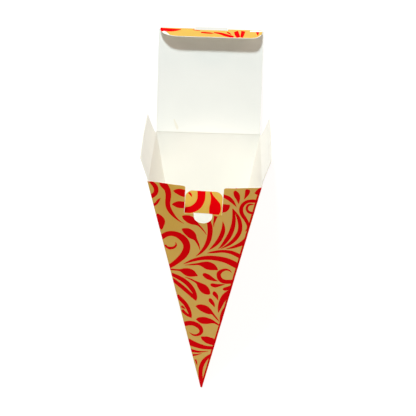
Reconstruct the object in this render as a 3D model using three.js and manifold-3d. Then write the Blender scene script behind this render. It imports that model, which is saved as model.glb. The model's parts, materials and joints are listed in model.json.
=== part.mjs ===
// Cone packaging box: one die-cut sheet of coated card, folded into a tall four-sided cone that comes to a point.
// The back panel carries a lid with a tuck flap, each side panel a dust flap, and the front panel is notched for a
// locking tongue with a thumb hole under it. It is drawn standing on its point and then laid on its back, resting on
// the point and on the far end of the opened lid. Millimetres, +Z up.
import * as THREE from "three";
import { mergeVertices } from "three/addons/utils/BufferGeometryUtils.js";
import Module from "manifold-3d";

const wasm = await Module();
wasm.setup();

// Cone
const MOUTH_WIDTH = 80; // outside, across the square mouth
const APEX_DEPTH = 219; // from the mouth down to where the four long folds would meet
const TIP_WIDTH = 1.6; // the point is nipped off at this width
const CARD = 0.5; // thickness of the card
const FOLD_RADIUS = 1.2; // outside of the four long folds
const BACK_RISE = 0.8; // the back panel is taller than the sides, so the lid closes over the dust flaps
const GLUE_FLAP_WIDTH = 11; // glued behind the front panel's right edge
const GLUE_FLAP_TOP = 5; // below the mouth
const GLUE_FLAP_BOTTOM = 178; // below the mouth
const GLUE_FLAP_SLANT = 7; // how far its two ends slope

// The front panel springs outwards round the notch
const BOW = 3.6; // at the middle of the top edge
const BOW_LENGTH = 88; // it dies away this far below the mouth
const FRONT_SKEW = 2; // degrees by which its top edge, notch and tongue slope down to the right

// Notch, locking tongue and thumb hole
const NOTCH_WIDTH = 26.8;
const NOTCH_DEPTH = 25.2; // measured down the axis, to the tongue's crease
const NOTCH_CORNER = 1.6; // the two cheeks beside the notch are rounded
const THUMB_RADIUS = 6.6;
const THUMB_STRAIGHT = 1.8; // straight sides above the thumb hole's round end
const TONGUE_LENGTH = 16.5;
const TONGUE_CORNER = 5.2;
const TONGUE_SIDE_GAP = 0.35; // left by the cut on each side of the tongue

// Lid and tuck flap
const LID_LENGTH = 78.1; // from crease to crease
const LID_SIDE_GAP = 0.35; // the lid is this much narrower than the mouth on each side
const TUCK_DEPTH = 12.5;
const TUCK_INSET = 1.2; // narrower than the lid on each side
const TUCK_RIGHT_TAPER = 5.5; // its free corners are cut away by this much
const TUCK_LEFT_TAPER = 12;
const TUCK_CORNER = 3; // rounding of the free corners
const LIP_WIDTH = 24.6; // the slit in the fold leaves a lip on the lid, which the tongue locks over
const LIP_LENGTH = 1.7;
const LIP_GAP = 0.3; // between the lip and its slit in the tuck flap

// Dust flaps
const FLAP_DEPTH = 15.5; // at the front end
const FLAP_TIP_RISE = 1.3; // the back end reaches this much further
const FLAP_FRONT_START = 2.8; // from the front corner to the root of the slanted front end
const FLAP_FRONT_SLANT = 6.2; // how far that end slopes back
const FLAP_BACK_START = 2.2; // from the back corner to the root of the hooked back end
const FLAP_BACK_END = 1.3; // from the back corner to that end's tip, which clears the back panel when closed
const FLAP_BACK_HOLLOW = 3.4; // deepest part of the hooked end
const FLAP_BULGE = 0.9; // the free edge is slightly crowned

// Every moving panel starts this far from its crease line, which lies on the white inner face of the card
const CREASE_START = 0.3;
const CREASE_LIFT = 0.6; // height of a crease line above the edge of the panel below it

// How far each panel stands open, in degrees
const LID_OPEN = 115.5; // from closed
const TUCK_FOLD = 125; // from flat with the lid
const FLAP_RISE = 68; // above level, pointing outwards
const TONGUE_LEAN = 24; // inwards from upright

const GOLD = { color: 0xb8963c, roughness: 0.42, metalness: 0.15 };
const GOLD_LIT = { color: 0xc9a64c, roughness: 0.42, metalness: 0.15 };

const ARC_STEPS = 4; // facets in the round of each long fold
const FRONT_STEPS = 24; // across the bowed front panel
const BOW_STEPS = 18; // down the bowed part
const CURVE_STEPS = 12; // along the round outlines of the flaps
const CUT_REACH = 30; // cutting shapes run this far past the card

const rad = THREE.MathUtils.degToRad;
const halfMouth = MOUTH_WIDTH / 2;
const wallSlope = halfMouth / APEX_DEPTH;
const cardAcross = CARD * Math.hypot(1, wallSlope); // the card's thickness, measured level
const innerHalf = halfMouth - cardAcross;
const tipDepth = APEX_DEPTH * (1 - TIP_WIDTH / MOUTH_WIDTH);
const skew = rad(FRONT_SKEW);
const rimTop = Math.max(BACK_RISE, halfMouth * Math.tan(skew)); // highest point of the cone's rim

// Half the outside width at a height z, which is 0 at the mouth and negative below it.
function halfWidthAt(z) {
  return halfMouth + wallSlope * z;
}

// How far the front panel is bowed outwards at x and z: level across the notch, and nothing at the long folds.
function bowAt(x, z) {
  const down = THREE.MathUtils.clamp(-z / BOW_LENGTH, 0, 1);
  const level = NOTCH_WIDTH / 2;
  const aside = THREE.MathUtils.smoothstep(Math.abs(x), level, halfWidthAt(z) - FOLD_RADIUS);
  return BOW * 0.5 * (1 + Math.cos(Math.PI * down)) * (1 - aside);
}

// One level outline of the cone, inset from the outside, anticlockwise seen from above.
function coneOutline(z, inset) {
  const half = halfWidthAt(z) - inset;
  const radius = Math.min(Math.max(FOLD_RADIUS - inset, 0.25), 0.45 * half);
  const flat = half - radius;
  const points = [];
  for (let i = 1; i < FRONT_STEPS; i++) {
    const x = flat * ((2 * i) / FRONT_STEPS - 1);
    points.push(new THREE.Vector3(x, -half - bowAt(x, z), z));
  }
  const corners = [[1, -1], [1, 1], [-1, 1], [-1, -1]];
  corners.forEach(([sx, sy], corner) => {
    for (let i = 0; i <= ARC_STEPS; i++) {
      const turn = (corner - 1 + i / ARC_STEPS) * (Math.PI / 2);
      points.push(new THREE.Vector3(sx * flat + radius * Math.cos(turn), sy * flat + radius * Math.sin(turn), z));
    }
  });
  return points;
}

// A closed solid through level outlines that all have the same number of points, from the top one down.
function loftDown(outlines) {
  const count = outlines[0].length;
  const positions = [];
  const index = [];
  outlines.forEach((outline) => outline.forEach((p) => positions.push(p.x, p.y, p.z)));
  const capCentre = (outline) => {
    positions.push(0, 0, outline[0].z);
    return positions.length / 3 - 1;
  };
  const top = capCentre(outlines[0]);
  const bottom = capCentre(outlines[outlines.length - 1]);
  const last = (outlines.length - 1) * count;
  for (let i = 0; i < count; i++) {
    const next = (i + 1) % count;
    index.push(top, i, next);
    index.push(bottom, last + next, last + i);
    for (let k = 0; k + 1 < outlines.length; k++) {
      const a = k * count + i;
      const b = k * count + next;
      index.push(a, a + count, b, b, a + count, b + count);
    }
  }
  const geometry = new THREE.BufferGeometry();
  geometry.setAttribute("position", new THREE.Float32BufferAttribute(positions, 3));
  geometry.setIndex(index);
  return geometry;
}

function toSolid(geometry) {
  const bare = geometry.clone();
  bare.deleteAttribute("normal");
  bare.deleteAttribute("uv");
  const merged = mergeVertices(bare, 1e-4);
  return new wasm.Manifold(
    new wasm.Mesh({
      numProp: 3,
      vertProperties: merged.attributes.position.array,
      triVerts: new Uint32Array(merged.index.array),
    }),
  );
}

function toGeometry(solid) {
  const mesh = solid.getMesh();
  const geometry = new THREE.BufferGeometry();
  geometry.setAttribute("position", new THREE.BufferAttribute(new Float32Array(mesh.vertProperties), 3));
  geometry.setIndex(new THREE.BufferAttribute(new Uint32Array(mesh.triVerts), 1));
  geometry.computeVertexNormals();
  return geometry;
}

function extrude(shape, depth) {
  return new THREE.ExtrudeGeometry(shape, { depth, bevelEnabled: false, curveSegments: CURVE_STEPS });
}

// A shape drawn in x and z, as seen from the front, extruded from its near side at y backwards.
function extrudeBackwards(shape, nearY, depth) {
  return extrude(shape, depth).rotateX(Math.PI / 2).translate(0, nearY + depth, 0);
}

// The notch in the front panel's top edge, with the thumb hole under its middle.
function notchShape() {
  const half = NOTCH_WIDTH / 2;
  const crease = -NOTCH_DEPTH;
  const holeCentre = crease - THUMB_STRAIGHT;
  const shape = new THREE.Shape();
  shape.moveTo(-half - NOTCH_CORNER, CUT_REACH);
  shape.lineTo(-half - NOTCH_CORNER, 0);
  shape.absarc(-half - NOTCH_CORNER, -NOTCH_CORNER, NOTCH_CORNER, Math.PI / 2, 0, true);
  shape.lineTo(-half, crease);
  shape.lineTo(-THUMB_RADIUS, crease);
  shape.absarc(0, holeCentre, THUMB_RADIUS, Math.PI, 2 * Math.PI, false);
  shape.lineTo(THUMB_RADIUS, crease);
  shape.lineTo(half, crease);
  shape.absarc(half + NOTCH_CORNER, -NOTCH_CORNER, NOTCH_CORNER, Math.PI, Math.PI / 2, true);
  shape.lineTo(half + NOTCH_CORNER, CUT_REACH);
  shape.closePath();
  return shape;
}

// The glue flap lies behind the front panel's right edge, with sloping ends, and follows that panel's slant.
function glueFlap() {
  const shape = new THREE.Shape();
  const foldAt = (depth) => halfWidthAt(-depth) - FOLD_RADIUS;
  const topInner = GLUE_FLAP_TOP + GLUE_FLAP_SLANT;
  const bottomInner = GLUE_FLAP_BOTTOM - GLUE_FLAP_SLANT;
  shape.moveTo(foldAt(GLUE_FLAP_TOP), -GLUE_FLAP_TOP);
  shape.lineTo(foldAt(topInner) - GLUE_FLAP_WIDTH, -topInner);
  shape.lineTo(foldAt(bottomInner) - Math.min(GLUE_FLAP_WIDTH, foldAt(bottomInner)), -bottomInner);
  shape.lineTo(foldAt(GLUE_FLAP_BOTTOM), -GLUE_FLAP_BOTTOM);
  shape.closePath();
  const blank = toSolid(extrudeBackwards(shape, -halfMouth - BOW - CARD, halfMouth + BOW));
  return blank.intersect(coneShell(cardAcross * 0.98, 2 * cardAcross));
}

// The cone's wall between two insets from the outside, open at the mouth.
function coneShell(outerInset, innerInset) {
  const down = [];
  for (let i = 0; i <= BOW_STEPS; i++) down.push((-BOW_LENGTH * i) / BOW_STEPS);
  const innerEnd = -APEX_DEPTH * (1 - (innerInset + 0.1) / halfMouth);
  const outside = [rimTop, ...down, -tipDepth].map((z) => coneOutline(z, outerInset));
  const inside = [CUT_REACH, rimTop, ...down, innerEnd].map((z) => coneOutline(z, innerInset));
  return toSolid(loftDown(outside)).subtract(toSolid(loftDown(inside)));
}

// A block that trims the rim above z, between two distances behind the cone's axis.
function overRim(z, from, to) {
  const block = new THREE.BoxGeometry(2 * MOUTH_WIDTH, to - from, CUT_REACH);
  return block.translate(0, (from + to) / 2, z + CUT_REACH / 2);
}

// The back panel is trimmed highest, the two sides level, and the front panel at a slope, as is its notch.
function coneBody() {
  const panels = innerHalf - FOLD_RADIUS;
  const overBack = overRim(BACK_RISE, -panels, MOUTH_WIDTH);
  const overSides = overRim(0, -panels, panels);
  const overFront = overRim(0, -MOUTH_WIDTH, -panels).rotateY(skew);
  const notch = extrudeBackwards(notchShape(), -halfMouth - CUT_REACH, halfMouth + CUT_REACH - FOLD_RADIUS);
  let wall = coneShell(0, cardAcross).add(glueFlap());
  for (const cut of [overBack, overSides, overFront, notch.rotateY(skew)]) wall = wall.subtract(toSolid(cut));
  return wall;
}

// Lid outline: s runs along the crease and n away from it. The lip stands in the middle of the free edge.
function lidShape() {
  const half = halfMouth - LID_SIDE_GAP;
  const end = LID_LENGTH - CREASE_START;
  const lip = LIP_WIDTH / 2;
  const shape = new THREE.Shape();
  shape.moveTo(-half, CREASE_START);
  shape.lineTo(half, CREASE_START);
  shape.lineTo(half, end);
  shape.lineTo(lip, end);
  shape.lineTo(lip, LID_LENGTH + LIP_LENGTH);
  shape.lineTo(-lip, LID_LENGTH + LIP_LENGTH);
  shape.lineTo(-lip, end);
  shape.lineTo(-half, end);
  shape.closePath();
  return shape;
}

// Tuck flap outline, with its two free corners cut back and rounded and the slit that clears the lip. Here and on the
// lid, s runs from the right of the box to its left.
function tuckShape() {
  const root = halfMouth - LID_SIDE_GAP - TUCK_INSET;
  const shoulder = CREASE_START + TUCK_DEPTH / 4;
  const leftEnd = root - TUCK_LEFT_TAPER - TUCK_CORNER;
  const rightEnd = root - TUCK_RIGHT_TAPER - TUCK_CORNER;
  const slit = LIP_WIDTH / 2 + LIP_GAP;
  const slitDepth = LIP_LENGTH + LIP_GAP;
  const shape = new THREE.Shape();
  shape.moveTo(slit, CREASE_START);
  shape.lineTo(root, CREASE_START);
  shape.lineTo(root, shoulder);
  shape.quadraticCurveTo(root - TUCK_LEFT_TAPER / 4, TUCK_DEPTH, leftEnd, TUCK_DEPTH);
  shape.lineTo(-rightEnd, TUCK_DEPTH);
  shape.quadraticCurveTo(-root + TUCK_RIGHT_TAPER / 4, TUCK_DEPTH, -root, shoulder);
  shape.lineTo(-root, CREASE_START);
  shape.lineTo(-slit, CREASE_START);
  shape.lineTo(-slit, slitDepth);
  shape.lineTo(slit, slitDepth);
  shape.closePath();
  return shape;
}

// Dust flap outline. towardsFront is 1 where s runs from back to front, and -1 on the other side of the box.
function dustFlapShape(towardsFront) {
  const back = -halfMouth;
  const front = halfMouth;
  const at = (s, n) => [towardsFront * s, n];
  const shape = new THREE.Shape();
  shape.moveTo(...at(back + FLAP_BACK_START, CREASE_START));
  shape.lineTo(...at(front - FLAP_FRONT_START, CREASE_START));
  shape.lineTo(...at(front - FLAP_FRONT_START - FLAP_FRONT_SLANT, FLAP_DEPTH));
  const tip = FLAP_DEPTH + FLAP_TIP_RISE;
  shape.quadraticCurveTo(...at(0, (FLAP_DEPTH + tip) / 2 + 2 * FLAP_BULGE), ...at(back + FLAP_BACK_END, tip));
  const hollow = back + 2 * FLAP_BACK_HOLLOW - FLAP_BACK_START / 2;
  shape.quadraticCurveTo(...at(hollow, FLAP_DEPTH / 3), ...at(back + FLAP_BACK_START, CREASE_START));
  return shape;
}

function tongueShape() {
  const half = NOTCH_WIDTH / 2 - TONGUE_SIDE_GAP;
  const shoulder = TONGUE_LENGTH - TONGUE_CORNER;
  const shape = new THREE.Shape();
  shape.moveTo(-half, CREASE_START);
  shape.lineTo(half, CREASE_START);
  shape.lineTo(half, shoulder);
  shape.absarc(half - TONGUE_CORNER, shoulder, TONGUE_CORNER, 0, Math.PI / 2, false);
  shape.absarc(TONGUE_CORNER - half, shoulder, TONGUE_CORNER, Math.PI / 2, Math.PI, false);
  shape.closePath();
  return shape;
}

// A panel hinged on a crease: away points across it from the crease, and outer out of its printed face.
function hingedPanel(name, shape, crease, away, outer, look) {
  const along = away.clone().cross(outer);
  const mesh = new THREE.Mesh(extrude(shape, CARD), new THREE.MeshStandardMaterial(look));
  mesh.applyMatrix4(new THREE.Matrix4().makeBasis(along, away, outer).setPosition(crease));
  mesh.name = name;
  return mesh;
}

const box = new THREE.Group();

const body = new THREE.Mesh(toGeometry(coneBody()), new THREE.MeshStandardMaterial(GOLD));
body.name = "cone_body";
box.add(body);

const open = rad(LID_OPEN);
const lidAway = new THREE.Vector3(0, -Math.cos(open), Math.sin(open));
const lidOuter = new THREE.Vector3(0, Math.sin(open), Math.cos(open));
const lidCrease = new THREE.Vector3(0, innerHalf, BACK_RISE + CREASE_LIFT);
box.add(hingedPanel("lid", lidShape(), lidCrease, lidAway, lidOuter, GOLD));

const fold = rad(TUCK_FOLD);
const tuckAway = lidAway.clone().multiplyScalar(Math.cos(fold)).addScaledVector(lidOuter, -Math.sin(fold));
const tuckOuter = lidAway.clone().multiplyScalar(Math.sin(fold)).addScaledVector(lidOuter, Math.cos(fold));
const tuckCrease = lidCrease.clone().addScaledVector(lidAway, LID_LENGTH);
box.add(hingedPanel("tuck_flap", tuckShape(), tuckCrease, tuckAway, tuckOuter, GOLD_LIT));

const rise = rad(FLAP_RISE);
for (const [name, side] of [["left_dust_flap", -1], ["right_dust_flap", 1]]) {
  const away = new THREE.Vector3(side * Math.cos(rise), 0, Math.sin(rise));
  const outer = new THREE.Vector3(side * Math.sin(rise), 0, -Math.cos(rise));
  const crease = new THREE.Vector3(side * innerHalf, 0, CREASE_LIFT);
  box.add(hingedPanel(name, dustFlapShape(-side), crease, away, outer, GOLD));
}

const lean = rad(TONGUE_LEAN);
const skewAxis = new THREE.Vector3(0, 1, 0);
const tongueAway = new THREE.Vector3(0, Math.sin(lean), Math.cos(lean)).applyAxisAngle(skewAxis, skew);
const tongueOuter = new THREE.Vector3(0, -Math.cos(lean), Math.sin(lean)).applyAxisAngle(skewAxis, skew);
const tongueCrease = new THREE.Vector3(0, 0, -NOTCH_DEPTH).applyAxisAngle(skewAxis, skew);
tongueCrease.y = cardAcross - halfWidthAt(tongueCrease.z) - bowAt(tongueCrease.x, tongueCrease.z);
box.add(hingedPanel("lock_tongue", tongueShape(), tongueCrease, tongueAway, tongueOuter, GOLD_LIT));

// Laid on its back, the box rests on the back edge of its point and on the outer end of the lid.
const tipRest = new THREE.Vector3(0, TIP_WIDTH / 2, -tipDepth);
const lidRest = lidCrease.clone().addScaledVector(lidAway, LID_LENGTH + LIP_LENGTH).addScaledVector(lidOuter, CARD);
box.rotation.x = -Math.atan2(lidRest.z - tipRest.z, lidRest.y - tipRest.y);

const cone = new THREE.Group();
cone.add(box);
cone.updateMatrixWorld(true);
const bounds = new THREE.Box3().setFromObject(cone, true);
const centre = bounds.getCenter(new THREE.Vector3());
box.position.set(-centre.x, -centre.y, -bounds.min.z);

export default cone;
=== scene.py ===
# The looks of an open cone packaging box: white card, printed outside in gold with a red scroll ornament.
# Every panel is one closed sheet of card whose printed face is cut along the ornament's outlines. The cone
# is wrapped from its flat blank, so folds and print follow the sheet as they do on the real box.
import json
import math

import bpy
from mathutils import Matrix, Vector
from mathutils.geometry import delaunay_2d_cdt


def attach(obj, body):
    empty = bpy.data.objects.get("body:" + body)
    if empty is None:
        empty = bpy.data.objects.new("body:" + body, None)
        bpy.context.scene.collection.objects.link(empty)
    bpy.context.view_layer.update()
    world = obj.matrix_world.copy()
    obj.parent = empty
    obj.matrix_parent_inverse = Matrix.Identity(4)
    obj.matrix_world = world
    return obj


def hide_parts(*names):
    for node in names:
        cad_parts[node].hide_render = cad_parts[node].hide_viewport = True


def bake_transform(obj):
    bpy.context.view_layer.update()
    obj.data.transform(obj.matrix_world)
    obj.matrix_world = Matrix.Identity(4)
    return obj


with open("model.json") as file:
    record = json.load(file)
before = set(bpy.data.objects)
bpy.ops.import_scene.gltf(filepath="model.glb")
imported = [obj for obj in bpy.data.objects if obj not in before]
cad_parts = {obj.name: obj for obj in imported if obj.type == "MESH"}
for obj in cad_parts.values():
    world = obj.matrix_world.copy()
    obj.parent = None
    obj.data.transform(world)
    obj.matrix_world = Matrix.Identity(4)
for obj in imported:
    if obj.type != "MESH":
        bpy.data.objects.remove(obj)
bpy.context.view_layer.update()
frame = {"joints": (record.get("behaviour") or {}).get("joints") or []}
joints = {joint["name"]: joint for joint in frame["joints"]}

MM = 0.001

# Sizes of the box, in millimetres and degrees
MOUTH_WIDTH = 80
APEX_DEPTH = 219
TIP_WIDTH = 1.6
CARD = 0.5
FOLD_RADIUS = 1.2
BACK_RISE = 0.8
BOW = 3.6
BOW_LENGTH = 88
FRONT_SKEW = 2
GLUE_FLAP_WIDTH = 11
GLUE_FLAP_TOP = 5
GLUE_FLAP_BOTTOM = 178
GLUE_FLAP_SLANT = 7
NOTCH_WIDTH = 26.8
NOTCH_DEPTH = 25.2
NOTCH_CORNER = 1.6
THUMB_RADIUS = 6.6
THUMB_STRAIGHT = 1.8
TONGUE_LENGTH = 16.5
TONGUE_CORNER = 5.2
TONGUE_SIDE_GAP = 0.12
TONGUE_LEAN = 24
LID_LENGTH = 78.1
LID_SIDE_GAP = 0.35
TUCK_DEPTH = 12.5
TUCK_INSET = 1.2
TUCK_RIGHT_TAPER = 5.5
TUCK_LEFT_TAPER = 12
TUCK_CORNER = 3
TUCK_FOLD = 125
LIP_WIDTH = 24.6
LIP_LENGTH = 1.7
LIP_GAP = 0.3
FLAP_DEPTH = 15.5
FLAP_TIP_RISE = 1.3
FLAP_FRONT_START = 2.8
FLAP_FRONT_SLANT = 6.2
FLAP_BACK_START = 2.2
FLAP_BACK_END = 1.3
FLAP_BACK_HOLLOW = 3.4
FLAP_BULGE = 0.9
FLAP_RISE = 68
CREASE_START = 0.3
CREASE_LIFT = 0.6
SEAM_SINK = 0.06  # air between the front panel and the glue flap behind it
TONGUE_CREASE_DROP = 0.01

HALF_MOUTH = MOUTH_WIDTH / 2
SLOPE = HALF_MOUTH / APEX_DEPTH
CARD_ACROSS = CARD * math.hypot(1, SLOPE)
INNER_HALF = HALF_MOUTH - CARD_ACROSS
TIP_DEPTH = APEX_DEPTH * (1 - TIP_WIDTH / MOUTH_WIDTH)
SLANT_HEIGHT = math.hypot(APEX_DEPTH, HALF_MOUTH)
HALF_APEX = math.atan(HALF_MOUTH / SLANT_HEIGHT)
LID_HALF = HALF_MOUTH - LID_SIDE_GAP
TUCK_HALF = LID_HALF - TUCK_INSET
SLIT_HALF = LIP_WIDTH / 2 + LIP_GAP
TONGUE_HALF = NOTCH_WIDTH / 2 - TONGUE_SIDE_GAP

# The box's own axes as it lies: across, towards the back panel, and up out of the mouth
RIGHT = Vector((1, 0, 0))
BACK = Vector(joints["left_flap_hinge"]["axis"]).normalized()
UP = RIGHT.cross(BACK)
BOX_AXES = Matrix((RIGHT, BACK, UP)).transposed()
MOUTH = Vector(joints["left_flap_hinge"]["pos_m"]) + (INNER_HALF * RIGHT - CREASE_LIFT * UP) * MM


def at(x, y, z):
    """The place in the scene of a point given in the box's axes, in millimetres from the mouth's middle."""
    return MOUTH + BOX_AXES @ Vector((x, y, z)) * MM


def smooth(t):
    t = min(max(t, 0), 1)
    return t * t * (3 - 2 * t)


# Camera, fitted to the corners of the mouth and lid and to the point of the cone
PHOTO_WIDTH = 416
PHOTO_MIDDLE = PHOTO_WIDTH / 2
FOCAL_PIXELS = 1000
SENSOR = 36
VIEW_ELEVATION = 27.16
VIEW_YAW = 1.09
VIEW_ROLL = 1.31
VIEW_DISTANCE = 729.9
MOUTH_PIXEL = (206.58, 158.25)
CLIP_START = 0.01  # metres, as is the next
CLIP_END = 20


def pixel_ray(x, y):
    """The direction, in the camera's own axes, through a pixel of the photograph."""
    return Vector((x - PHOTO_MIDDLE, PHOTO_MIDDLE - y, -FOCAL_PIXELS)).normalized()


def add_camera():
    elevation, yaw, roll = (math.radians(a) for a in (VIEW_ELEVATION, VIEW_YAW, VIEW_ROLL))
    sideways = math.cos(elevation)
    away = Vector((math.sin(yaw) * sideways, -math.cos(yaw) * sideways, math.sin(elevation)))
    level = Vector((math.cos(yaw), math.sin(yaw), 0))
    upright = away.cross(level)
    right = math.cos(roll) * level + math.sin(roll) * upright
    up = math.cos(roll) * upright - math.sin(roll) * level
    centred = Matrix((right, up, away)).transposed()
    aim = Vector((0, 0, -1)).rotation_difference(pixel_ray(*MOUTH_PIXEL)).to_matrix()
    facing = BOX_AXES @ centred @ aim.transposed()
    camera = bpy.data.objects.new("camera", bpy.data.cameras.new("camera"))
    camera.data.sensor_width = SENSOR
    camera.data.lens = SENSOR * FOCAL_PIXELS / PHOTO_WIDTH
    camera.data.clip_start = CLIP_START
    camera.data.clip_end = CLIP_END
    camera.matrix_world = Matrix.Translation(at(*(VIEW_DISTANCE * away))) @ facing.to_4x4()
    bpy.context.scene.collection.objects.link(camera)
    bpy.context.scene.camera = camera
    return camera


camera = add_camera()


def shown_at(x, y, face, outer):
    """Where a pixel of the photograph falls on the plane through the point face and square to outer."""
    start = camera.matrix_world.translation
    ray = camera.matrix_world.to_3x3() @ pixel_ray(x, y)
    return start + ray * ((face - start).dot(outer) / ray.dot(outer))


# Materials. The noises mostly keep between the two values that come first.

NOISE_LOW = 0.3
NOISE_HIGH = 0.7
CLOUD_SCALE = 60
FIBRE_SCALE = 1800
GLOSS_SCALE = 240
GLOSS_SPREAD = 0.06
TOOTH_SCALE = 2600
TOOTH_DEPTH = 0.00005
SHEEN_ROUGHNESS = 0.3


def linear(red, green, blue):
    """A colour given as 0 to 255 on a screen, as Blender's linear colour."""
    def decode(value):
        value /= 255
        return value / 12.92 if value <= 0.04045 else ((value + 0.055) / 1.055) ** 2.4

    return (decode(red), decode(green), decode(blue), 1)


def card_material(name, colour, mottle, roughness, specular, grain, sheen=0):
    """Card with a slow mottle in its colour, an uneven gloss and the fine tooth of the board."""
    material = bpy.data.materials.new(name)
    material.use_nodes = True
    nodes = material.node_tree.nodes
    links = material.node_tree.links
    shader = nodes["Principled BSDF"]
    shader.inputs["Specular IOR Level"].default_value = specular
    shader.inputs["Sheen Weight"].default_value = sheen
    shader.inputs["Sheen Roughness"].default_value = SHEEN_ROUGHNESS
    place = nodes.new("ShaderNodeTexCoord")

    def noise(scale, detail):
        node = nodes.new("ShaderNodeTexNoise")
        node.inputs["Scale"].default_value = scale
        node.inputs["Detail"].default_value = detail
        links.new(place.outputs["Object"], node.inputs["Vector"])
        return node.outputs["Fac"]

    def spread(factor, low, high):
        node = nodes.new("ShaderNodeMapRange")
        node.inputs["From Min"].default_value = NOISE_LOW
        node.inputs["From Max"].default_value = NOISE_HIGH
        node.inputs["To Min"].default_value = low
        node.inputs["To Max"].default_value = high
        links.new(factor, node.inputs["Value"])
        return node.outputs["Result"]

    cloud = spread(noise(CLOUD_SCALE, 3), 1 - mottle, 1)
    fibre = spread(noise(FIBRE_SCALE, 2), 1 - mottle / 2, 1)
    both = nodes.new("ShaderNodeMath")
    both.operation = "MULTIPLY"
    links.new(cloud, both.inputs[0])
    links.new(fibre, both.inputs[1])
    tint = nodes.new("ShaderNodeMix")
    tint.data_type = "RGBA"
    tint.blend_type = "MULTIPLY"
    tint.inputs["Factor"].default_value = 1
    tint.inputs["A"].default_value = colour
    links.new(both.outputs[0], tint.inputs["B"])
    links.new(tint.outputs["Result"], shader.inputs["Base Color"])
    gloss = spread(noise(GLOSS_SCALE, 2), roughness - GLOSS_SPREAD, roughness + GLOSS_SPREAD)
    links.new(gloss, shader.inputs["Roughness"])
    bump = nodes.new("ShaderNodeBump")
    bump.inputs["Strength"].default_value = grain
    bump.inputs["Distance"].default_value = TOOTH_DEPTH
    links.new(noise(TOOTH_SCALE, 3), bump.inputs["Height"])
    links.new(bump.outputs["Normal"], shader.inputs["Normal"])
    return material


MATERIALS = [
    card_material("gold_ink", linear(230, 184, 76),
                  mottle=0.05, roughness=0.5, specular=0.2, grain=0.25, sheen=0.3),
    card_material("red_ink", linear(236, 0, 9),
                  mottle=0.04, roughness=0.5, specular=0, grain=0.2, sheen=0.3),
    card_material("white_card", linear(251, 249, 241),
                  mottle=0.015, roughness=0.7, specular=0.15, grain=0.35),
    card_material("cut_edge", linear(248, 243, 228),
                  mottle=0.04, roughness=0.85, specular=0.15, grain=0.6),
]
GOLD, RED, WHITE, EDGE = range(len(MATERIALS))


# Outlines, as lists of points in millimetres

def arc(x, y, radius, first, last, steps=10):
    """Points on a circle from one angle to another, in degrees."""
    turns = [math.radians(first + (last - first) * i / steps) for i in range(steps + 1)]
    return [(x + radius * math.cos(t), y + radius * math.sin(t)) for t in turns]


def curve(start, control, end, steps=12):
    """Points on a quadratic curve, without its start."""
    points = []
    knots = (start, control, end)
    for i in range(1, steps + 1):
        t = i / steps
        weights = ((1 - t) ** 2, 2 * t * (1 - t), t * t)
        points.append(tuple(sum(w * p[k] for w, p in zip(weights, knots)) for k in range(2)))
    return points


def lid_outline():
    end = LID_LENGTH - CREASE_START
    lip = LIP_WIDTH / 2
    top = LID_LENGTH + LIP_LENGTH
    return [(-LID_HALF, CREASE_START), (LID_HALF, CREASE_START), (LID_HALF, end), (lip, end), (lip, top),
            (-lip, top), (-lip, end), (-LID_HALF, end)]


def tuck_outline():
    slit_depth = LIP_LENGTH + LIP_GAP
    shoulder = CREASE_START + TUCK_DEPTH / 4

    def end(side, taper):
        start = (side * TUCK_HALF, shoulder)
        free = (side * (TUCK_HALF - taper - TUCK_CORNER), TUCK_DEPTH)
        rounded = curve(start, (side * (TUCK_HALF - taper / 4), TUCK_DEPTH), free)
        return [(side * SLIT_HALF, slit_depth), (side * SLIT_HALF, CREASE_START),
                (side * TUCK_HALF, CREASE_START), start] + rounded

    return end(1, TUCK_LEFT_TAPER) + end(-1, TUCK_RIGHT_TAPER)[::-1]


def dust_flap_outline(towards_front):
    back = -HALF_MOUTH
    root = (back + FLAP_BACK_START, CREASE_START)
    tail = (back + FLAP_BACK_END, FLAP_DEPTH + FLAP_TIP_RISE)
    front = HALF_MOUTH - FLAP_FRONT_START
    nose = (front - FLAP_FRONT_SLANT, FLAP_DEPTH)
    hollow = (back + 2 * FLAP_BACK_HOLLOW - FLAP_BACK_START / 2, FLAP_DEPTH / 3)
    points = [root, (front, CREASE_START), nose]
    points += curve(nose, (0, FLAP_DEPTH + FLAP_TIP_RISE / 2 + 2 * FLAP_BULGE), tail)
    points += curve(tail, hollow, root)[:-1]
    return [(towards_front * s, n) for s, n in points]


def tongue_outline():
    shoulder = TONGUE_LENGTH - TONGUE_CORNER
    right = arc(TONGUE_HALF - TONGUE_CORNER, shoulder, TONGUE_CORNER, 0, 90)
    left = arc(TONGUE_CORNER - TONGUE_HALF, shoulder, TONGUE_CORNER, 90, 180)
    return [(-TONGUE_HALF, CREASE_START), (TONGUE_HALF, CREASE_START)] + right + left


def skewed(x, z):
    """A point of the front panel's top, turned with its sloping edge."""
    turn = math.radians(FRONT_SKEW)
    return x * math.cos(turn) + z * math.sin(turn), z * math.cos(turn) - x * math.sin(turn)


def notch_outline():
    """The notch and thumb hole, from the right cheek to the left one, as x and z on the front panel."""
    half = NOTCH_WIDTH / 2
    crease = -NOTCH_DEPTH
    points = arc(half + NOTCH_CORNER, -NOTCH_CORNER, NOTCH_CORNER, 90, 180, steps=5)
    points += [(half, crease), (THUMB_RADIUS, crease)]
    points += arc(0, crease - THUMB_STRAIGHT, THUMB_RADIUS, 0, -180, steps=16)
    points += [(-THUMB_RADIUS, crease), (-half, crease)]
    points += arc(-half - NOTCH_CORNER, -NOTCH_CORNER, NOTCH_CORNER, 0, 90, steps=5)
    return [skewed(x, z) for x, z in points]


# The cone's flat blank: four narrow triangles side by side round the apex, counted from the front panel,
# and the glue flap, which goes behind the front panel again.

FRONT = 0
LEFT_SIDE = -1
BACK_SIDE = -2
RIGHT_SIDE = -3
GLUE = -4
ARC_LINES = 3
LEVEL_COUNT = 24
BOW_ROW_COUNT = 22
BOW_COLUMN_COUNT = 16
LEAST_FOLD = 0.25
LARGEST_FOLD_SHARE = 0.45
LEAST_WIDTH = 0.1


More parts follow.
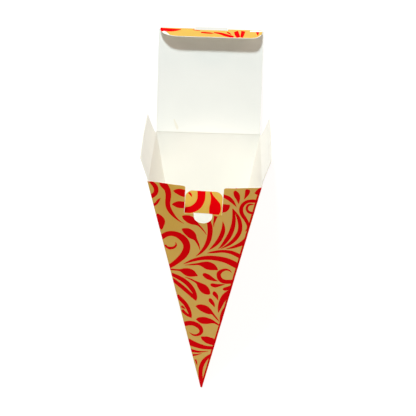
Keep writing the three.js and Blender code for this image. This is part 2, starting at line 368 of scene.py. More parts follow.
def half_width(z):
    return HALF_MOUTH + SLOPE * z


def fold_radius(z, inset=0.0):
    return min(max(FOLD_RADIUS - inset, LEAST_FOLD), LARGEST_FOLD_SHARE * (half_width(z) - inset))


def flat_at(z):
    return half_width(z) - fold_radius(z)


def half_girth(z):
    """Half of one side's girth, from its middle to the middle of the rounded fold."""
    return flat_at(z) + fold_radius(z) * math.pi / 4


def bow(x, z):
    """How far the front panel swells outwards."""
    down = min(max(-z / BOW_LENGTH, 0), 1)
    level = NOTCH_WIDTH / 2
    aside = smooth((abs(x) - level) / max(half_width(z) - FOLD_RADIUS - level, LEAST_WIDTH))
    return BOW * 0.5 * (1 + math.cos(math.pi * down)) * (1 - aside)


def blank(side, across, z):
    """The place on the blank of a point that lies across mm from a side's middle line, at height z."""
    along = SLANT_HEIGHT * (1 + z / APEX_DEPTH)
    aside = across * half_width(z) / half_girth(z)
    turn = 2 * HALF_APEX * side
    return Vector((aside * math.cos(turn) + along * math.sin(turn),
                   along * math.cos(turn) - aside * math.sin(turn)))


def side_of(point):
    return max(round(math.atan2(point[0], point[1]) / (2 * HALF_APEX)), GLUE)


def wrapped(point, layer):
    """Where a point of the blank lies on the folded cone, on the printed layer 0 or the white layer 1."""
    side = side_of(point)
    turn = 2 * HALF_APEX * side
    aside = point[0] * math.cos(turn) - point[1] * math.sin(turn)
    along = point[0] * math.sin(turn) + point[1] * math.cos(turn)
    z = APEX_DEPTH * (along / SLANT_HEIGHT - 1)
    across = aside * half_girth(z) / half_width(z)
    radius = fold_radius(z)
    flat = flat_at(z)
    inset = layer * CARD_ACROSS
    if side == GLUE:
        inset += (CARD_ACROSS + SEAM_SINK) * smooth((half_girth(z) - across) / (half_girth(z) - flat))
    inner_radius = fold_radius(z, inset)
    inner_flat = half_width(z) - inset - inner_radius
    if abs(across) <= flat:
        u = across * inner_flat / flat
        n = half_width(z) - inset
    else:
        bend = (abs(across) - flat) / radius
        u = math.copysign(inner_flat + inner_radius * math.sin(bend), across)
        n = inner_flat + inner_radius * math.cos(bend)
    if side in (FRONT, GLUE):
        n += bow(u, z)
    corner = side * math.pi / 2
    return at(u * math.cos(corner) + n * math.sin(corner), u * math.sin(corner) - n * math.cos(corner), z)


LEVELS = [-TIP_DEPTH * (i / LEVEL_COUNT) for i in range(LEVEL_COUNT + 1)]
BOW_ROWS = [-BOW_LENGTH * i / BOW_ROW_COUNT for i in range(1, BOW_ROW_COUNT + 1)]
BOW_COLUMNS = [i / BOW_COLUMN_COUNT for i in range(1 - BOW_COLUMN_COUNT, BOW_COLUMN_COUNT)]
FRONT_RISE = (HALF_MOUTH - FOLD_RADIUS) * math.tan(math.radians(FRONT_SKEW))


def seam_edge(side):
    """Points of the blank down a side's right fold, where its flat face ends."""
    return [blank(side, flat_at(z), z) for z in LEVELS]


def cone_outline():
    flat = flat_at(0)
    raised = half_girth(BACK_RISE)
    points = [blank(FRONT, x, z) for x, z in notch_outline()]
    points += [blank(FRONT, -flat, FRONT_RISE), blank(FRONT, -half_girth(FRONT_RISE), FRONT_RISE)]
    points += [blank(LEFT_SIDE, flat, FRONT_RISE), blank(LEFT_SIDE, flat, 0)]
    points += [blank(LEFT_SIDE, -flat, 0), blank(LEFT_SIDE, -flat, BACK_RISE)]
    points += [blank(BACK_SIDE, raised, BACK_RISE), blank(BACK_SIDE, -raised, BACK_RISE)]
    points += [blank(RIGHT_SIDE, flat, BACK_RISE), blank(RIGHT_SIDE, flat, 0)]
    points += [blank(RIGHT_SIDE, -flat, 0)]
    fallen = flat_at(-FRONT_RISE)
    points += [blank(RIGHT_SIDE, -fallen, -FRONT_RISE)]
    points += [blank(RIGHT_SIDE, -half_girth(-FRONT_RISE), -FRONT_RISE)]
    points += [blank(GLUE, fallen, -FRONT_RISE)]
    low = GLUE_FLAP_BOTTOM - GLUE_FLAP_SLANT
    high = GLUE_FLAP_TOP + GLUE_FLAP_SLANT
    flap_edge = [high] + [-z for z in BOW_ROWS if high < -z] + [low]
    points += [blank(GLUE, flat_at(-GLUE_FLAP_TOP), -GLUE_FLAP_TOP)]
    points += [blank(GLUE, max(flat_at(-depth) - GLUE_FLAP_WIDTH, 0), -depth) for depth in flap_edge]
    points += [p for p, z in zip(seam_edge(GLUE), LEVELS) if z < -GLUE_FLAP_BOTTOM]
    points += [blank(side, 0, -TIP_DEPTH) for side in (RIGHT_SIDE, BACK_SIDE, LEFT_SIDE, FRONT)]
    return points + seam_edge(FRONT)[:0:-1] + [blank(FRONT, fallen, -FRONT_RISE)]


def fold_lines():
    """Lines down the rounded folds, which keep their curve when the blank is cut into triangles."""
    lines = []
    for side in (LEFT_SIDE, BACK_SIDE, RIGHT_SIDE, GLUE):
        for i in range(-ARC_LINES, ARC_LINES + 1):
            line = []
            for z in LEVELS[:-1]:
                from_fold = (half_girth(z) - flat_at(z)) * abs(i) / ARC_LINES
                across = half_girth(z) - from_fold
                line.append(blank(side, across, z) if i <= 0 else blank(side + 1, -across, z))
            lines.append(line)
    return lines


def bow_points():
    """Points spread over the bowed part of the front panel and, behind it, of the glue flap."""
    points = []
    for z in BOW_ROWS:
        reach = flat_at(z)
        flap_edge = (reach - GLUE_FLAP_WIDTH) / reach
        points += [blank(FRONT, reach * x, z) for x in BOW_COLUMNS]
        points += [blank(GLUE, reach * x, z) for x in BOW_COLUMNS if x > flap_edge]
    return points


# Sheets of card

STROKE_STEPS = 4
LEAST_STROKE = 0.6
LEAST_CELL = 1e-4
WELD = 1e-4
SHARP_ANGLE = 28
PRINTED = 0


def area(outline):
    return sum(a[0] * b[1] - b[0] * a[1] for a, b in zip(outline, outline[1:] + outline[:1])) / 2


def spline(p, q, r, s, t):
    """A value between q and r on a smooth curve that also goes through p and s."""
    return 0.5 * (2 * q + (r - p) * t + (2 * p - 5 * q + 4 * r - s) * t * t
                  + (3 * q - p - 3 * r + s) * t ** 3)


def between(first, second):
    """Triangles that fill the band between two rows with as many points each."""
    cells = []
    for a, b, c, d in zip(first, second, second[1:], first[1:]):
        cells += [(a, b, c), (a, c, d)]
    return cells


def stroke(points, place):
    """A tapering stroke along a smooth line through points of x, y and width, as a row of triangles."""
    count = len(points)
    path = []
    for i in range(count - 1):
        before, a, b, after = (points[min(max(k, 0), count - 1)] for k in (i - 1, i, i + 1, i + 2))
        for j in range(STROKE_STEPS + (i == count - 2)):
            t = j / STROKE_STEPS
            path.append([spline(p, q, r, s, t) for p, q, r, s in zip(before, a, b, after)])
    left, right = [], []
    for i, (x, y, width) in enumerate(path):
        start, end = path[max(i - 1, 0)], path[min(i + 1, len(path) - 1)]
        along = Vector((end[0] - start[0], end[1] - start[1])).normalized()
        aside = along.orthogonal() * max(width, LEAST_STROKE) / 2
        left.append(place(x + aside.x, y + aside.y))
        right.append(place(x - aside.x, y - aside.y))
    return [cell for cell in between(left, right) if abs(area(cell)) > LEAST_CELL]


def sheet(name, body, node, outline, cells, place, lines=(), loose=(), cell_side=None, worn_and_highlit=(), scuffs=()):
    """A closed sheet of card over an outline: red in its cells, dull where scuffed, and bare white in the
    cells that stand for wear, a white patch and painted highlight.

    The lines and loose points are kept in the mesh, so that it can bend there. For the cone, cell_side says
    on which of its sides each cell is printed.
    """
    verts, edges, faces = [], [], []

    def add(points):
        first = len(verts)
        verts.extend(Vector(p[:2]) for p in points)
        return list(range(first, len(verts)))

    for face in [outline, *cells, *worn_and_highlit, *scuffs]:
        faces.append(add(face if area(face) > 0 else face[::-1]))
    for line in lines:
        found = add(line)
        edges += list(zip(found, found[1:]))
    add(loose)
    points, _, triangles, _, _, origins = delaunay_2d_cdt(verts, edges, faces, 0, WELD)
    # Each triangle comes with the numbers of the faces that it lies in, of which the outline is number 0
    kept = [(t, o) for t, o in zip(triangles, origins) if 0 in o]
    used = sorted({i for t, _ in kept for i in t})
    number = {i: k for k, i in enumerate(used)}
    count = len(used)
    corners = [place(points[i], layer) for layer in (0, 1) for i in used]
    polygons, slots = [], []
    sides = set()
    for triangle, origin in kept:
        a = [number[i] for i in triangle]
        middle = sum((points[i] for i in triangle), Vector((0, 0))) / len(triangle)
        inked = any(i > 0 and (cell_side is None or cell_side[i - 1] == side_of(middle)) for i in origin)
        scuffed = any(i > len(cells) + len(worn_and_highlit) for i in origin)
        bare = not scuffed and any(i > len(cells) for i in origin)
        polygons.append(a)
        slots.append(WHITE if bare else RED if inked else GOLD)
        polygons.append([i + count for i in reversed(a)])
        slots.append(EDGE if scuffed else WHITE)
        sides.update(zip(a, a[1:] + a[:1]))
    for a, b in sides:
        if (b, a) not in sides:
            polygons.append([b, a, a + count, b + count])
            slots.append(EDGE)
    solid(name, body, node, corners, polygons, slots)


def solid(name, body, node, corners, polygons, slots):
    mesh = bpy.data.meshes.new(name)
    mesh.from_pydata([tuple(c) for c in corners], [], polygons)
    for material in MATERIALS:
        mesh.materials.append(material)
    mesh.polygons.foreach_set("material_index", slots)
    mesh.validate()
    inside_out = signed_volume(mesh) < 0
    if inside_out:
        mesh.flip_normals()
    mesh.polygons.foreach_set("use_smooth", [True] * len(mesh.polygons))
    mesh.set_sharp_from_angle(angle=math.radians(SHARP_ANGLE))
    piece = bpy.data.objects.new(name, mesh)
    bpy.context.scene.collection.objects.link(piece)
    if isinstance(body, str):
        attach(piece, body)
    if node:
        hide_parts(node)
    return piece


def signed_volume(mesh):
    total = 0.0
    for polygon in mesh.polygons:
        corners = [mesh.vertices[i].co for i in polygon.vertices]
        for b, c in zip(corners[1:], corners[2:]):
            total += corners[0].dot(b.cross(c))
    return total


# Where each hinged panel lies: its crease, the direction away from it, and the one out of its printed face

class Panel:
    def __init__(self, joint, away, along):
        self.crease = Vector(joints[joint]["pos_m"])
        self.away = away.normalized()
        self.along = along.normalized()
        self.outer = self.along.cross(self.away)

    def place(self, point, layer):
        lift = self.outer * CARD * (1 - layer)
        return self.crease + (self.along * point[0] + self.away * point[1] + lift) * MM

    def under(self, x, y):
        """The panel's own coordinates of what a pixel of the photograph shows on its printed face."""
        face = self.place((0, 0), PRINTED)
        reach = shown_at(x, y, face, self.outer) - face
        return reach.dot(self.along) / MM, reach.dot(self.away) / MM


def turned(vector, axis, degrees):
    return Matrix.Rotation(math.radians(degrees), 3, axis) @ vector


lid_away = Vector(joints["tuck_fold"]["pos_m"]) - Vector(joints["lid_hinge"]["pos_m"])
lid_panel = Panel("lid_hinge", lid_away, -RIGHT)
tuck_panel = Panel("tuck_fold", turned(lid_panel.away, RIGHT, TUCK_FOLD), -RIGHT)
left_panel = Panel("left_flap_hinge", turned(-RIGHT, BACK, FLAP_RISE), -BACK)
right_panel = Panel("right_flap_hinge", turned(RIGHT, -BACK, FLAP_RISE), BACK)
tongue_along = -Vector(joints["tongue_hinge"]["axis"]).normalized()
tongue_away = turned(tongue_along.cross(BACK), -tongue_along, TONGUE_LEAN)
tongue_panel = Panel("tongue_hinge", tongue_away, tongue_along)


def on_front(x, y):
    """The place on the blank that a pixel of the photograph shows on the bowed front panel."""
    apex = at(0, 0, -APEX_DEPTH)
    down_line = (at(0, -HALF_MOUTH, 0) - apex).normalized()
    outer = RIGHT.cross(down_line)
    swell = 0.0
    # The bow depends on the place and the place on the bow, so they are found by turns
    for _ in range(4):
        face = apex - BACK * swell * MM
        reach = shown_at(x, y, face, outer) - face
        across = reach.dot(RIGHT) / MM
        z = APEX_DEPTH * (reach.dot(down_line) / MM / SLANT_HEIGHT - 1)
        swell = bow(across, z)
    return blank(FRONT, across, z)


# The ornament: strokes as x, y and width, drawn on sheets laid over the photograph. A sheet is
# given by the photograph's pixel at its corner and by how many of its units make one pixel.

UPPER_SHEET = (140, 170, 11.61)
LOWER_SHEET = (165, 265, 12.35)
TUCK_SHEET = (150, 18, 12.54)
PHOTO_SHEET = (0, 0, 1)
INK_SPREAD = 0.45  # pixels of the photograph by which the ink is wider than the strokes as drawn
SEAM_BAND = 0.62
FLAP_PRINT_STRETCH = 1.6
FLAP_PRINT_SHIFT = 24
LID_PRINT_START = -20

UPPER_STROKES = [
    # scrolls and stems
    [(95, 120, 10), (140, 150, 35), (178, 192, 48), (188, 240, 50), (170, 280, 48), (125, 310, 45)],
    [(265, 130, 78), (268, 160, 74), (314, 220, 64), (329, 290, 62), (322, 400, 52), (350, 475, 44),
     (410, 550, 22), (460, 592, 8), (512, 622, 2)],
    [(225, 800, 50), (272, 765, 56), (320, 742, 54), (375, 737, 54), (440, 755, 62), (500, 797, 72),
     (538, 855, 78), (540, 920, 78), (512, 980, 76), (460, 1035, 62), (410, 1075, 52), (350, 1115, 44),
     (300, 1140, 30)],
    [(290, 870, 20), (315, 895, 20), (350, 907, 28), (395, 898, 24), (420, 870, 16), (412, 838, 2)],
    [(1385, 366, 34), (1300, 361, 34), (1240, 370, 32), (1192, 408, 38), (1174, 460, 42), (1186, 515, 40),
     (1222, 570, 36), (1252, 628, 32), (1252, 672, 20), (1222, 714, 2)],
    [(1328, 403, 2), (1290, 399, 14), (1255, 411, 22), (1240, 448, 24), (1255, 482, 24), (1290, 498, 24),
     (1345, 500, 24)],
    [(1065, 1192, 2), (1040, 1168, 12), (1000, 1156, 18), (955, 1168, 30), (920, 1195, 44),
     (914, 1225, 46), (930, 1268, 46), (975, 1295, 44), (1030, 1298, 42), (1110, 1296, 42)],
    # leaves, some of them on stems
    [(386, 240, 2), (410, 245, 36), (455, 253, 68), (500, 268, 78), (570, 290, 70)],
    [(370, 400, 2), (395, 398, 34), (440, 400, 72), (500, 405, 74), (570, 412, 60)],
    [(488, 532, 2), (515, 548, 48), (570, 572, 84), (625, 600, 72), (670, 632, 26), (705, 665, 14),
     (740, 705, 10), (772, 752, 2)],
    [(203, 504, 4), (214, 545, 80), (225, 590, 122), (236, 630, 108), (246, 665, 54), (253, 692, 4)],
    [(485, 680, 2), (512, 697, 48), (560, 722, 86), (610, 762, 84), (645, 805, 34), (668, 845, 22),
     (685, 885, 12), (697, 932, 2)],
    [(1328, 268, 2), (1350, 266, 36), (1380, 255, 62), (1430, 232, 70)],
    [(915, 440, 90), (965, 445, 95), (1000, 435, 80), (1025, 420, 45), (1042, 404, 4)],
    [(520, 1105, 2), (600, 1098, 12), (680, 1092, 24), (725, 1095, 52), (780, 1108, 86), (840, 1125, 76),
     (880, 1145, 40), (903, 1162, 4)],
    [(345, 1153, 14), (455, 1162, 18), (500, 1170, 54), (555, 1186, 88), (610, 1202, 74), (645, 1218, 36),
     (670, 1230, 4)],
    # blades of the fan
    [(795, 590, 40), (812, 660, 56), (812, 740, 54), (795, 820, 50), (755, 900, 38), (700, 962, 20),
     (648, 1002, 2)],
    [(880, 535, 40), (868, 580, 24), (858, 620, 12), (855, 662, 2)],
    [(960, 598, 2), (968, 650, 26), (965, 705, 44), (945, 765, 48), (910, 825, 44), (860, 880, 28),
     (798, 930, 2)],
    [(1073, 448, 2), (1086, 500, 24), (1090, 570, 38), (1080, 650, 46), (1050, 740, 50), (1000, 820, 42),
     (950, 880, 22), (908, 916, 2)],
    [(1076, 450, 4), (1112, 500, 18), (1148, 570, 38), (1164, 650, 44), (1152, 725, 46), (1105, 800, 42),
     (1040, 858, 30), (985, 890, 14), (935, 914, 2)],
    [(1260, 790, 60), (1195, 845, 48), (1130, 878, 34), (1060, 903, 18), (998, 916, 2)],
    [(778, 965, 2), (860, 953, 22), (960, 943, 27), (1050, 955, 36), (1110, 978, 42), (1185, 1016, 44)],
    [(503, 1092, 2), (600, 1053, 26), (700, 1028, 36), (800, 1019, 44), (900, 1028, 50), (1000, 1051, 58),
     (1070, 1082, 64), (1150, 1126, 64)],
    [(240, 325, 2), (215, 350, 22), (190, 385, 28), (155, 410, 26)],
    [(930, 286, 34), (985, 308, 36), (1030, 330, 44), (1068, 362, 36), (1098, 398, 18), (1122, 432, 2)],
    # drops
    [(1092, 248, 20), (1106, 262, 46), (1125, 295, 62), (1138, 330, 46), (1143, 365, 22), (1145, 397, 2)],
    [(1254, 226, 34), (1250, 248, 54), (1238, 285, 40), (1225, 312, 20), (1207, 343, 2)],
    [(1118, 180, 50), (1118, 205, 36), (1118, 219, 4)],
    [(728, 1218, 16), (748, 1218, 42), (785, 1238, 54), (830, 1262, 40), (870, 1280, 20), (908, 1290, 2)],
]

LOWER_STROKES = [
    # leaves on stems
    [(245, 148, 2), (310, 172, 12), (370, 203, 18), (403, 224, 34), (430, 250, 66), (475, 290, 98),
     (515, 325, 84), (543, 352, 36), (552, 362, 6)],
    [(378, 510, 2), (405, 512, 42), (455, 528, 78), (510, 553, 84), (555, 580, 58), (588, 602, 22),
     (620, 640, 16), (648, 672, 10), (666, 698, 2)],
    [(382, 672, 2), (410, 672, 44), (460, 682, 78), (520, 690, 74), (575, 697, 46), (615, 712, 22),
     (650, 732, 14), (690, 756, 6)],
    [(446, 884, 4), (470, 903, 44), (515, 922, 76), (565, 940, 80), (635, 960, 70)],
    # drops
    [(562, 247, 12), (580, 246, 36), (620, 255, 42), (670, 250, 26), (710, 243, 12), (742, 240, 2)],
    [(712, 298, 10), (735, 298, 34), (770, 290, 38), (810, 270, 30), (850, 254, 20)],
    [(590, 340, 20), (605, 348, 44), (630, 375, 42), (645, 405, 24), (655, 438, 2)],
    [(540, 424, 20), (556, 432, 40), (580, 460, 40), (600, 490, 26), (612, 522, 2)],
    # blades in pairs at the left fold
    [(80, 112, 34), (160, 150, 44), (230, 190, 48), (295, 245, 52), (345, 310, 48), (372, 365, 38),
     (382, 405, 26), (382, 440, 4)],
    [(90, 176, 36), (140, 213, 40), (225, 282, 44), (305, 352, 40), (350, 395, 34), (382, 440, 4)],
    [(150, 376, 40), (215, 440, 44), (265, 500, 44), (297, 565, 40), (315, 615, 28), (327, 655, 2)],
    [(210, 555, 30), (250, 595, 30), (285, 622, 24), (325, 652, 2)],
    [(200, 506, 24), (230, 527, 18), (252, 542, 2)],
    [(320, 1054, 34), (370, 1065, 26), (430, 1072, 16), (535, 1066, 2)],
    [(340, 1112, 26), (390, 1107, 14), (455, 1092, 2)],
    [(375, 1165, 16), (388, 1200, 14), (398, 1240, 2)],
    # scroll and band
    [(235, 730, 52), (290, 718, 52), (350, 722, 50), (405, 748, 50), (440, 783, 48), (448, 820, 42),
     (428, 850, 34), (390, 866, 22), (345, 862, 14), (300, 832, 2)],
    [(280, 938, 70), (330, 965, 66), (395, 990, 56), (460, 1010, 48), (530, 1021, 38), (625, 1022, 34)],
    # crescents at the right edge and at the point
    [(830, 310, 50), (755, 375, 70), (712, 430, 66), (685, 490, 52), (668, 545, 30), (657, 590, 2)],
    [(765, 500, 14), (730, 560, 40), (708, 610, 40), (697, 650, 36), (692, 730, 30)],
    [(600, 1090, 10), (530, 1135, 34), (475, 1195, 48), (445, 1265, 50), (438, 1340, 46), (443, 1420, 48),
     (452, 1510, 40)],
]

TONGUE_STROKES = [
    [(712, 225, 90), (714, 280, 88), (706, 350, 86), (672, 412, 84), (612, 452, 76), (550, 466, 68),
     (490, 466, 62)],
    [(818, 255, 14), (836, 300, 26), (852, 345, 60), (868, 400, 116), (872, 450, 132), (862, 500, 116),
     (850, 560, 60)],
    [(565, 262, 16), (588, 282, 20), (600, 310, 4)],
]

TUCK_STROKES = [
    [(90, 138, 40), (180, 146, 38), (300, 150, 28), (390, 143, 4)],
    [(540, 148, 3), (600, 157, 4), (630, 160, 2)],
    [(640, 181, 10), (700, 185, 14), (760, 190, 10), (800, 192, 2)],
    [(800, 182, 6), (870, 192, 18), (950, 215, 26), (1050, 240, 22)],
    [(965, 180, 6), (990, 190, 14), (1022, 212, 2)],
    [(1078, 168, 46), (1085, 190, 50), (1096, 215, 48), (1110, 245, 42)],
    [(1170, 165, 46), (1163, 195, 42), (1155, 220, 34), (1148, 245, 24)],
    [(1348, 165, 44), (1350, 190, 26), (1352, 220, 4)],
]

# Where the print leaves the white card bare: worn at the tuck flap's left end and along the tongue's crease
# and, on the tuck flap's fold at its right end, a white patch
TUCK_BARE = [
    [(140, 182, 10), (178, 185, 40), (215, 208, 34), (262, 234, 8)],
    [(1254, 166, 11), (1300, 166, 12), (1350, 167, 12), (1405, 168, 8)],
]
TONGUE_WEAR = [
    [(615, 499, 2), (660, 503, 5), (720, 507, 6), (780, 511, 5), (836, 515, 2)],
]

# Where the lid's white face is scuffed
LID_SCUFFS = [
    [(174, 119, 0.4), (175.4, 123, 1.6), (177, 127, 2.4), (177.6, 129.5, 1)],
]

# Width of the white rim along the tuck flap's free edge: worn card and a painted highlight of the lit cut
# edge
WORN_AND_HIGHLIT_RIM = 0.35
BLUNT = 16  # the width above which a stroke's end is blunt, in the units of its sheet


def drawn(strokes, paper, under):
    """Each stroke of a sheet, widened by the spread of the ink, as triangles on the panel under it."""
    left, top, scale = paper
    spread = INK_SPREAD * scale

    def place(x, y):
        return under(left + x / scale, top + y / scale)

    return [stroke([(x, y, width + min(width, spread)) for x, y, width in points], place)
            for points in strokes]


def pointed(points):
    """A stroke with each blunt end, where an edge cuts it in the photograph, drawn out to a point."""
    whole = list(points)
    for end, before in ((whole[0], whole[1]), (whole[-1], whole[-2])):
        away = Vector((end[0] - before[0], end[1] - before[1])).normalized() * end[2]
        tip = (end[0] + away.x, end[1] + away.y, 1)
        if end[2] > BLUNT:
            whole = [tip] + whole if end is whole[0] else whole + [tip]
    return whole


def on_tongue(x, y):
    """Where on the blank a pixel shows the tongue, which fills the notch when the blank is flat."""
    along, away = tongue_panel.under(x, y)
    return blank(FRONT, along, away - NOTCH_DEPTH)


def worn_and_highlit_rim(outline, start):
    """Narrow white cells just inside the outline beyond a distance from the crease: wear and painted
    highlight.
    """
    def inward(point):
        return point[0] - math.copysign(WORN_AND_HIGHLIT_RIM, point[0]), point[1] - WORN_AND_HIGHLIT_RIM

    return [(a, b, inward(b), inward(a)) for a, b in zip(outline, outline[1:]) if min(a[1], b[1]) > start]


front_motifs = drawn(UPPER_STROKES, UPPER_SHEET, on_front) + drawn(LOWER_STROKES, LOWER_SHEET, on_front)
plain_motifs = drawn(map(pointed, UPPER_STROKES), UPPER_SHEET, on_front)
plain_motifs += drawn(map(pointed, LOWER_STROKES), LOWER_SHEET, on_front)
plain_motifs += drawn(map(pointed, TONGUE_STROKES), UPPER_SHEET, on_tongue)


def on_side(motif, side):
    """A motif of the front panel, mirrored on each second panel, turned on to another side of the blank."""
    turn = 2 * HALF_APEX * side
    flip = -1 if side % 2 else 1

    def placed(point):
        return tuple(Vector((flip * point[0] * math.cos(turn) + point[1] * math.sin(turn),
                             point[1] * math.cos(turn) - flip * point[0] * math.sin(turn))))

    return [tuple(placed(p) for p in cell) for cell in motif]


def add_cone():
    cells, cell_side = [], []

    def print_on(side, new_cells):
        cells.extend(new_cells)
        cell_side.extend([side] * len(new_cells))

    for side in (FRONT, LEFT_SIDE, BACK_SIDE, RIGHT_SIDE):
        for motif in front_motifs if side == FRONT else plain_motifs:
            print_on(side, on_side(motif, side))
    # The print is plain red along the seam, on half of the fold and in a narrow band on the front panel
    middle_of_fold = [blank(GLUE, half_girth(z), z) for z in LEVELS]
    band = [blank(FRONT, max(flat_at(z) - SEAM_BAND, LEAST_WIDTH), z) for z in LEVELS]
    print_on(GLUE, between(middle_of_fold, seam_edge(GLUE)))
    print_on(FRONT, between(seam_edge(FRONT), band))
    sheet("printed_cone", "cone", "cone_body", cone_outline(), cells, wrapped,
          lines=fold_lines(), loose=bow_points(), cell_side=cell_side)


def on_lid(motif):
    """A motif of the front panel laid on the square lid, with the panel's top at the lid's crease."""
    return [tuple((x, SLANT_HEIGHT - y) for x, y in cell) for cell in motif]


def on_flap(motif):
    """A motif of the front panel laid on a dust flap and drawn out along it."""
    return [tuple((FLAP_PRINT_STRETCH * x, y - SLANT_HEIGHT + FLAP_PRINT_SHIFT) for x, y in cell)
            for cell in motif]


def flatten(motifs):
    return [cell for motif in motifs for cell in motif]


def within(motif, low, high):
    """True if the whole motif lies between two heights of a panel."""
    heights = [p[1] for cell in motif for p in cell]
    return low < min(heights) and max(heights) < high


lid_motifs = [motif for motif in map(on_lid, plain_motifs) if within(motif, LID_PRINT_START, LID_LENGTH)]
flap_cells = flatten(map(on_flap, plain_motifs))
# The tuck flap's white rim is worn card and a painted highlight of its lit cut edge
tuck_worn_and_highlit_rim = worn_and_highlit_rim(tuck_outline(), TUCK_DEPTH / 2)

add_cone()
sheet("printed_lid", "lid", "lid", lid_outline(), flatten(lid_motifs), lid_panel.place,
      scuffs=flatten(drawn(LID_SCUFFS, PHOTO_SHEET, lid_panel.under)))
sheet("printed_tuck_flap", "tuck_flap", "tuck_flap", tuck_outline(),
      flatten(drawn(TUCK_STROKES, TUCK_SHEET, tuck_panel.under)), tuck_panel.place,
      worn_and_highlit=flatten(drawn(TUCK_BARE, TUCK_SHEET, tuck_panel.under)) + tuck_worn_and_highlit_rim)
sheet("printed_tongue", "lock_tongue", "lock_tongue", tongue_outline(),
      flatten(drawn(TONGUE_STROKES, UPPER_SHEET, tongue_panel.under)), tongue_panel.place,
      worn_and_highlit=flatten(drawn(TONGUE_WEAR, UPPER_SHEET, tongue_panel.under)))
for name, panel, towards_front in (("left_dust_flap", left_panel, 1), ("right_dust_flap", right_panel, -1)):
    sheet("printed_" + name, name, name, dust_flap_outline(towards_front), flap_cells, panel.place)


# Creases, which bend between the two panels that they join

CREASE_STEPS = 6
# The long faces of one step of the strip, as places among its eight corners, and their materials
CREASE_FACES = [((0, 2, 6, 4), WHITE), ((3, 1, 5, 7), GOLD), ((1, 0, 4, 5), EDGE), ((2, 3, 7, 6), EDGE)]


def crease(name, bodies, panel, edge, edge_outer, spans):
    """A bent strip of card from one panel's edge to the panel hinged there, for each span of the fold."""
    start_outer = edge_outer.normalized()
    end = panel.crease + panel.away * CREASE_START * MM
    for number, (low, high) in enumerate(spans):
        corners, polygons, slots = [], [], []
        for i in range(CREASE_STEPS + 1):
            t = i / CREASE_STEPS
            inner = (1 - t) ** 2 * edge + 2 * t * (1 - t) * panel.crease + t * t * end
            outer = inner + start_outer.slerp(panel.outer, t) * CARD * MM
            for s in (low, high):
                corners += [inner + panel.along * s * MM, outer + panel.along * s * MM]
        for i in range(CREASE_STEPS):
            for ring, slot in CREASE_FACES:
                polygons.append([4 * i + k for k in ring])
                slots.append(slot)
        last = 4 * CREASE_STEPS
        polygons += [[1, 3, 2, 0], [last, last + 2, last + 3, last + 1]]
        slots += [EDGE, EDGE]
        label = f"{name}_{number}" if len(spans) > 1 else name
        piece = solid(label, bodies, None, corners, polygons, slots)
        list(bodies)
        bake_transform(piece)
        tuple(edge)


lid_edge = at(0, INNER_HALF + SLOPE * BACK_RISE, BACK_RISE)
tuck_edge = tuck_panel.crease - lid_panel.away * CREASE_START * MM
tongue_edge = tongue_panel.crease - UP * TONGUE_CREASE_DROP * MM
flap_low = FLAP_BACK_START - HALF_MOUTH
flap_high = HALF_MOUTH - FLAP_FRONT_START
crease("lid_crease", ("cone", "lid"), lid_panel, lid_edge, BACK - UP * SLOPE, [(-LID_HALF, LID_HALF)])
crease("tuck_crease", ("lid", "tuck_flap"), tuck_panel, tuck_edge, lid_panel.outer,
       [(-TUCK_HALF, -SLIT_HALF), (SLIT_HALF, TUCK_HALF)])
crease("left_flap_crease", ("cone", "left_dust_flap"), left_panel, at(-INNER_HALF, 0, 0),
       -RIGHT - UP * SLOPE, [(flap_low, flap_high)])
crease("right_flap_crease", ("cone", "right_dust_flap"), right_panel, at(INNER_HALF, 0, 0),
       RIGHT - UP * SLOPE, [(-flap_high, -flap_low)])
crease("tongue_crease", ("cone", "lock_tongue"), tongue_panel, tongue_edge,
       -BACK - UP * SLOPE, [(-TONGUE_HALF, -THUMB_RADIUS), (THUMB_RADIUS, TONGUE_HALF)])


# Stage, in metres and watts

FLOOR_REACH = 6
FLOOR_GREY = 0.3
FLOOR_GLOW = 0.4
FLOOR_LIFT = 0.47
WORLD_STRENGTH = 0.325
SPOT_BLEND = 0.5
LIT_POINT = Vector((0, 0.05, 0.03))
INSIDE_BACK = at(0, 36, -46)
KEY_TINT = (0.79, 0.92, 1)
MOUTH_TINT = (1, 0.84, 0.73)
SIDE_TINT = (1, 0.73, 0.61)
SHADE_TINT = (1, 0.895, 0.787)


def add_world():
    world = bpy.data.worlds.new("studio")
    world.use_nodes = True
    background = world.node_tree.nodes["Background"]
    background.inputs["Color"].default_value = (*SHADE_TINT, 1)
    background.inputs["Strength"].default_value = WORLD_STRENGTH
    bpy.context.scene.world = world


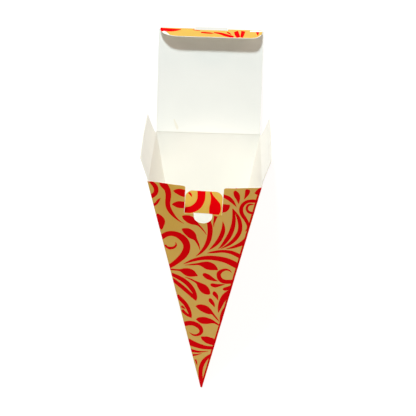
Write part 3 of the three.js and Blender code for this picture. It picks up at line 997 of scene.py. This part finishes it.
def add_floor():
    """A floor that looks white to the camera and in reflections, and keeps a faint shadow."""
    mesh = bpy.data.meshes.new("floor")
    reach = FLOOR_REACH
    corners = [(-reach, -reach, 0), (reach, -reach, 0), (reach, reach, 0), (-reach, reach, 0)]
    mesh.from_pydata(corners, [], [(0, 1, 2, 3)])
    floor = bpy.data.objects.new("floor", mesh)
    bpy.context.scene.collection.objects.link(floor)
    material = bpy.data.materials.new("floor_white")
    material.use_nodes = True
    nodes = material.node_tree.nodes
    links = material.node_tree.links
    shader = nodes["Principled BSDF"]
    shader.inputs["Base Color"].default_value = (FLOOR_GREY, FLOOR_GREY, FLOOR_GREY, 1)
    shader.inputs["Roughness"].default_value = 1
    shader.inputs["Specular IOR Level"].default_value = 0
    path = nodes.new("ShaderNodeLightPath")
    seen = nodes.new("ShaderNodeMath")
    seen.operation = "MAXIMUM"
    links.new(path.outputs["Is Camera Ray"], seen.inputs[0])
    links.new(path.outputs["Is Glossy Ray"], seen.inputs[1])
    lift = nodes.new("ShaderNodeMath")
    lift.operation = "MULTIPLY_ADD"
    lift.inputs[1].default_value = FLOOR_LIFT
    lift.inputs[2].default_value = FLOOR_GLOW
    links.new(seen.outputs[0], lift.inputs[0])
    shader.inputs["Emission Color"].default_value = (1, 1, 1, 1)
    links.new(lift.outputs[0], shader.inputs["Emission Strength"])
    mesh.materials.append(material)


def add_light(name, direction, distance, size, watts, beam=None, colour=(1, 1, 1)):
    """A round lamp aimed at the box or, with a beam in degrees, a spot aimed into its mouth."""
    lamp = bpy.data.lights.new(name, "SPOT" if beam else "AREA")
    if beam:
        lamp.spot_size = math.radians(beam)
        lamp.spot_blend = SPOT_BLEND
        lamp.shadow_soft_size = size / 2
    else:
        lamp.shape = "DISK"
        lamp.size = size
    lamp.energy = watts
    lamp.color = colour
    light = bpy.data.objects.new(name, lamp)
    towards = Vector(direction).normalized()
    light.location = (INSIDE_BACK if beam else LIT_POINT) + towards * distance
    light.rotation_mode = "QUATERNION"
    light.rotation_quaternion = towards.to_track_quat("Z", "Y")
    bpy.context.scene.collection.objects.link(light)


add_world()
add_floor()
add_light("key", (-0.13, 0.83, 0.556), distance=1.6, size=0.22, watts=20.4, colour=KEY_TINT)
add_light("fill", (0.15, -0.93, 0.33), distance=1.8, size=1.1, watts=12)
add_light("mouth_fill", (0, 0.6, 0.8), distance=1.5, size=0.02, watts=15, beam=3.5, colour=MOUTH_TINT)
add_light("left_side", (-0.78, 0.6, 0.1), distance=1.5, size=0.24, watts=3.1, colour=SIDE_TINT)
add_light("right_side", (0.78, 0.6, 0.1), distance=1.5, size=0.24, watts=3.05, colour=SIDE_TINT)

bpy.context.scene.view_settings.view_transform = "Standard"
